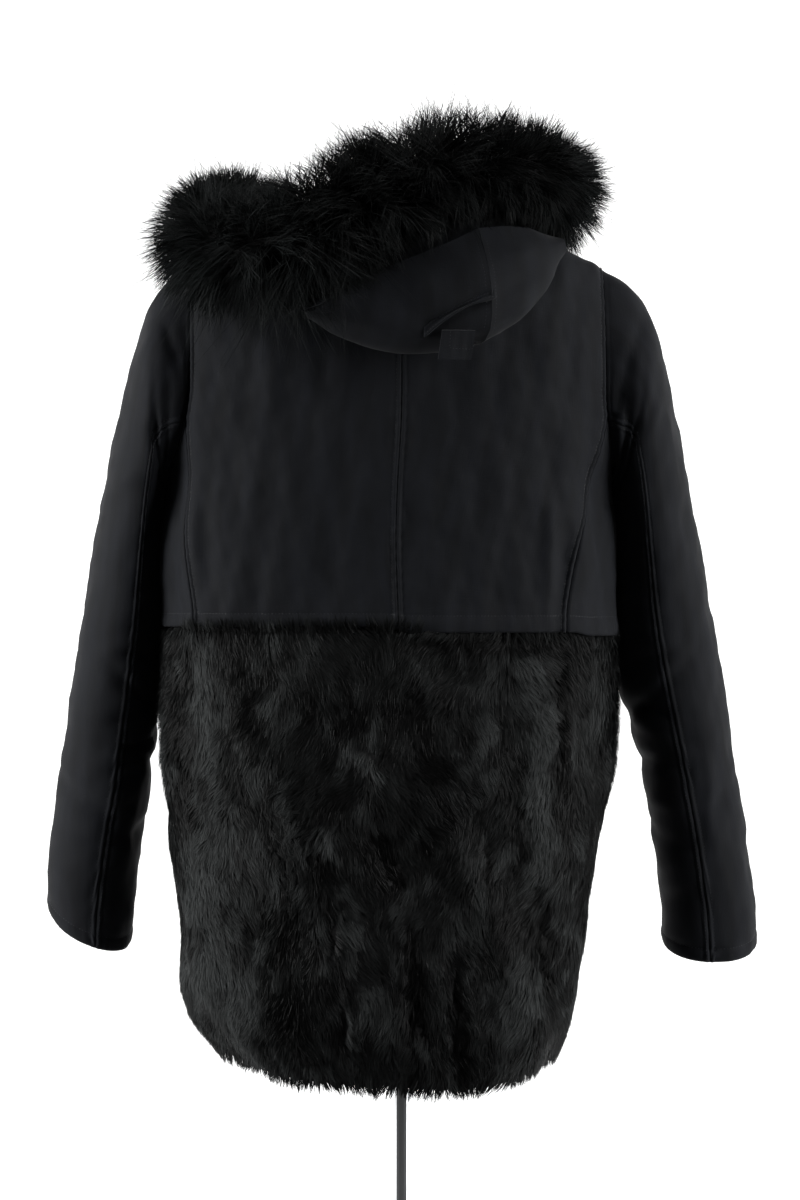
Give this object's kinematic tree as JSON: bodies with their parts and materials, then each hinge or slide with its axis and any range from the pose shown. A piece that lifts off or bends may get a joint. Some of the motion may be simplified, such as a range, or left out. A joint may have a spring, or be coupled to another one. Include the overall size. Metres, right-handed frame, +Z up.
{
  "type": "hooded coat with a fur skirt and fur-edged hood on a limbless dress form with a pole stand",
  "caption": "Hooded parka of black canvas with a short-fur skirt and a long-fur hood edge, worn by a limbless dress form on a pole stand.",
  "frame": {"origin": "the floor under the pole, at the centre of the base's underside", "axes": "+Z up along the pole, -Y out of the coat's back, +Y out of its front, +X to the wearer's right"},
  "size_m": [0.7589, 0.4234, 1.6111],
  "materials": {
    "canvas": "black cotton canvas, matt with a faint sheen",
    "short_fur": "black short fur, glossy hairs lying down in swirls",
    "long_fur": "black long fur, glossy tufts",
    "form_jersey": "off-white cotton jersey stretched over the form",
    "chrome": "polished chrome"
  },
  "bodies": {
    "root": {"back_left": "canvas", "back_right": "canvas", "side_back_left": "canvas", "side_back_right": "canvas", "front_left": "canvas", "front_right": "canvas", "front_placket": "canvas", "sleeve_left_top": "canvas", "sleeve_left_under": "canvas", "sleeve_right_top": "canvas", "sleeve_right_under": "canvas", "hood_left": "canvas", "hood_right": "canvas", "hood_strap": "canvas", "hood_ruff": "long_fur", "fur_back_left": "short_fur", "fur_back_right": "short_fur", "fur_side_left": "short_fur", "fur_side_right": "short_fur", "fur_front_left": "short_fur", "fur_front_right": "short_fur", "form_torso": "form_jersey", "form_neck_cap": "chrome", "form_pole": "chrome", "form_base": "chrome"}
  },
  "joints": []
}
